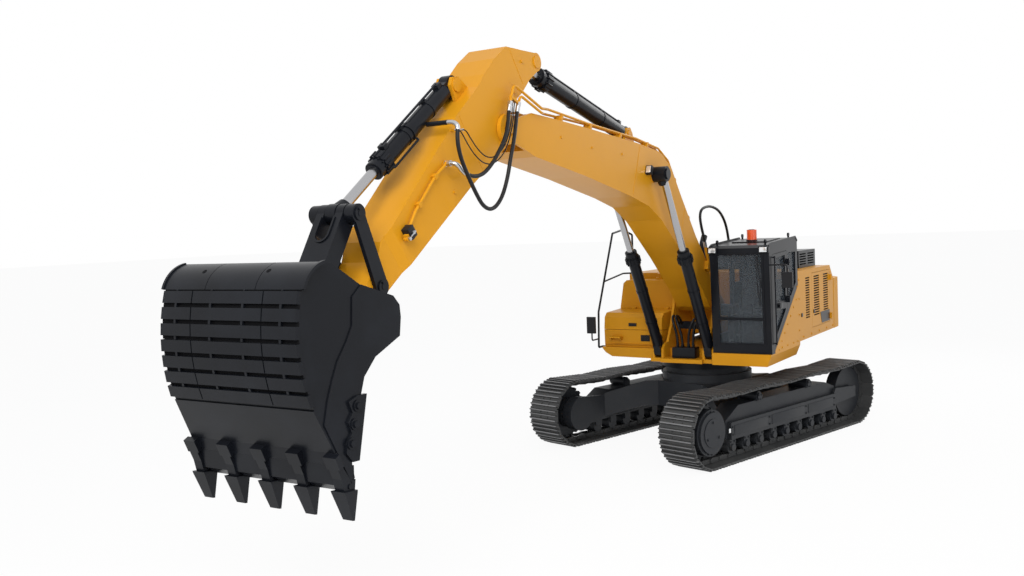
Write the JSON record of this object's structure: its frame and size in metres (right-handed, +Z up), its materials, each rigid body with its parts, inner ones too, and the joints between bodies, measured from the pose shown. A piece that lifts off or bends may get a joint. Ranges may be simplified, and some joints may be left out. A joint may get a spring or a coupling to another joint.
{
  "type": "crawler excavator",
  "caption": "Full-size crawler excavator with steel tracks, a swinging house with a glazed cab, a bent boom, arm and toothed backhoe bucket on hydraulic cylinders.",
  "frame": {"origin": "centre of the footprint of the whole parked machine, on the ground", "axes": "+X from the tail to the bucket, +Y to the operator's left (cab side), +Z up"},
  "size_m": [13.3743, 4.3628, 5.5024],
  "materials": {
    "yellow_paint": "gloss",
    "charcoal_paint": "satin",
    "black_paint": "satin",
    "track_steel": "satin",
    "counterweight_iron": "gloss",
    "engine_grey": "satin",
    "rod_chrome": "polished",
    "window_glass": "polished",
    "seat_fabric": "matte",
    "beacon_orange": "gloss",
    "mirror_black": "matte",
    "hose_rubber": "matte"
  },
  "bodies": {
    "undercarriage": {"carbody": "charcoal_paint", "track_left": "track_steel", "track_right": "track_steel", "track_frame_left": "charcoal_paint", "track_frame_right": "charcoal_paint", "sprocket_left": "charcoal_paint", "sprocket_right": "charcoal_paint", "idler_left": "charcoal_paint", "idler_right": "charcoal_paint", "motor_guard_left": "charcoal_paint", "motor_guard_right": "charcoal_paint"},
    "house": {"revolving_frame": "yellow_paint", "hose_rear": "hose_rubber", "swing_ring": "charcoal_paint", "mirror_right": "mirror_black", "counterweight": "counterweight_iron", "engine_house": "yellow_paint", "engine_block": "engine_grey", "exhaust_pipe": "black_paint", "cab_shell": "charcoal_paint", "side_glass_left": "window_glass", "side_glass_right": "window_glass", "rear_glass": "window_glass", "windscreen_lower": "window_glass", "windscreen_upper": "window_glass", "operator_seat": "seat_fabric", "side_panel_left": "yellow_paint", "fuel_tank": "yellow_paint", "tool_box": "yellow_paint", "handrail": "black_paint", "mirror_left": "mirror_black", "beacon": "beacon_orange"},
    "cab_door": {"cab_door": "charcoal_paint", "door_glass": "window_glass"},
    "engine_door_left": {"engine_door_left": "yellow_paint"},
    "engine_door_right": {"engine_door_right": "yellow_paint"},
    "hood": {"hood": "charcoal_paint"},
    "tool_box_lid": {"tool_box_lid": "yellow_paint"},
    "boom": {"boom": "yellow_paint", "boom_pipes": "yellow_paint", "boom_lamps": "mirror_black", "hose_short": "hose_rubber", "hose_long": "hose_rubber", "hose_thin_inner": "hose_rubber", "hose_thin_outer": "hose_rubber"},
    "boom_ram_barrels": {"boom_ram_barrel_left": "charcoal_paint", "boom_ram_barrel_right": "charcoal_paint"},
    "boom_ram_rods": {"boom_ram_rod_left": "rod_chrome", "boom_ram_rod_right": "rod_chrome"},
    "arm_ram_barrel": {"arm_ram_barrel": "charcoal_paint"},
    "arm_ram_rod": {"arm_ram_rod": "rod_chrome"},
    "arm": {"arm": "yellow_paint", "arm_pipe": "yellow_paint"},
    "bucket_ram_barrel": {"bucket_ram_barrel": "charcoal_paint"},
    "bucket_ram_rod": {"bucket_ram_rod": "rod_chrome"},
    "guide_links": {"guide_link_left": "charcoal_paint", "guide_link_right": "charcoal_paint"},
    "h_link": {"h_link": "charcoal_paint"},
    "bucket": {"bucket": "charcoal_paint"}
  },
  "joints": [
    {"name": "swing", "type": "hinge", "parent": "undercarriage", "child": "house", "pos_m": [-3.385, 0, 1.155], "axis": [0, 0, 1], "continuous": true},
    {"name": "boom_lift", "type": "hinge", "parent": "house", "child": "boom", "pos_m": [-3.068, 0, 2.177], "axis": [0, -1, 0], "range_deg": [-70, 32]},
    {"name": "boom_ram_tilt", "type": "hinge", "parent": "house", "child": "boom_ram_barrels", "pos_m": [-2.478, 0, 1.479], "axis": [0, -1, 0], "range_deg": [-72, 34]},
    {"name": "boom_ram_slide", "type": "slide", "parent": "boom_ram_barrels", "child": "boom_ram_rods", "axis": [0.5069, 0, 0.862], "range_m": [-0.995, 0.46]},
    {"name": "arm_swing", "type": "hinge", "parent": "boom", "child": "arm", "pos_m": [2.86178, 0, 4.58484], "axis": [0, -1, 0], "range_deg": [-91, 16]},
    {"name": "arm_ram_tilt", "type": "hinge", "parent": "boom", "child": "arm_ram_barrel", "pos_m": [-0.52579, 0, 4.74081], "axis": [0, -1, 0], "range_deg": [-4, 1]},
    {"name": "arm_ram_slide", "type": "slide", "parent": "arm_ram_barrel", "child": "arm_ram_rod", "axis": [0.9713, 0, 0.238], "range_m": [-0.28, 1.55]},
    {"name": "bucket_curl", "type": "hinge", "parent": "arm", "child": "bucket", "pos_m": [5.45719, 0, 2.71297], "axis": [0, -1, 0], "range_deg": [-105, 35]},
    {"name": "guide_link_swing", "type": "hinge", "parent": "arm", "child": "guide_links", "pos_m": [5.05096, 0, 3.03184], "axis": [0, -1, 0], "range_deg": [-72, 24]},
    {"name": "h_link_swing", "type": "hinge", "parent": "guide_links", "child": "h_link", "pos_m": [5.32452, 0, 3.70279], "axis": [0, -1, 0], "range_deg": [-17, 51]},
    {"name": "bucket_ram_tilt", "type": "hinge", "parent": "arm", "child": "bucket_ram_barrel", "pos_m": [3.53427, 0, 5.01467], "axis": [0, -1, 0], "range_deg": [-3, 1]},
    {"name": "bucket_ram_slide", "type": "slide", "parent": "bucket_ram_barrel", "child": "bucket_ram_rod", "axis": [0.8066, 0, -0.5911], "range_m": [-0.27, 0.8]},
    {"name": "cab_door_hinge", "type": "hinge", "parent": "house", "child": "cab_door", "pos_m": [-3.055, 1.5, 2.3], "axis": [0, 0, 1], "range_deg": [0, 170]},
    {"name": "engine_door_left_hinge", "type": "hinge", "parent": "house", "child": "engine_door_left", "pos_m": [-5.469, 1.49, 2.1], "axis": [0, 0, 1], "range_deg": [0, 100]},
    {"name": "engine_door_right_hinge", "type": "hinge", "parent": "house", "child": "engine_door_right", "pos_m": [-5.469, -1.485, 2.1], "axis": [0, 0, -1], "range_deg": [0, 100]},
    {"name": "hood_hinge", "type": "hinge", "parent": "house", "child": "hood", "pos_m": [-4.388, 0.2, 2.665], "axis": [0, 1, 0], "range_deg": [0, 60]},
    {"name": "tool_box_lid_hinge", "type": "hinge", "parent": "house", "child": "tool_box_lid", "pos_m": [-3.195, -0.94, 2.078], "axis": [0, -1, 0], "range_deg": [0, 60]}
  ],
  "couplings": [
    {"joint": "boom_ram_tilt", "follows": "boom_lift", "ratio": 0.9977},
    {"joint": "boom_ram_slide", "follows": "boom_lift", "m_per_rad": 0.8075},
    {"joint": "arm_ram_tilt", "follows": "arm_swing", "ratio": 0.0381},
    {"joint": "arm_ram_slide", "follows": "arm_swing", "m_per_rad": -0.972},
    {"joint": "guide_link_swing", "follows": "bucket_curl", "ratio": 0.6768},
    {"joint": "h_link_swing", "follows": "bucket_curl", "ratio": -0.4773},
    {"joint": "bucket_ram_tilt", "follows": "bucket_curl", "ratio": 0.0266},
    {"joint": "bucket_ram_slide", "follows": "bucket_curl", "m_per_rad": -0.4338}
  ]
}
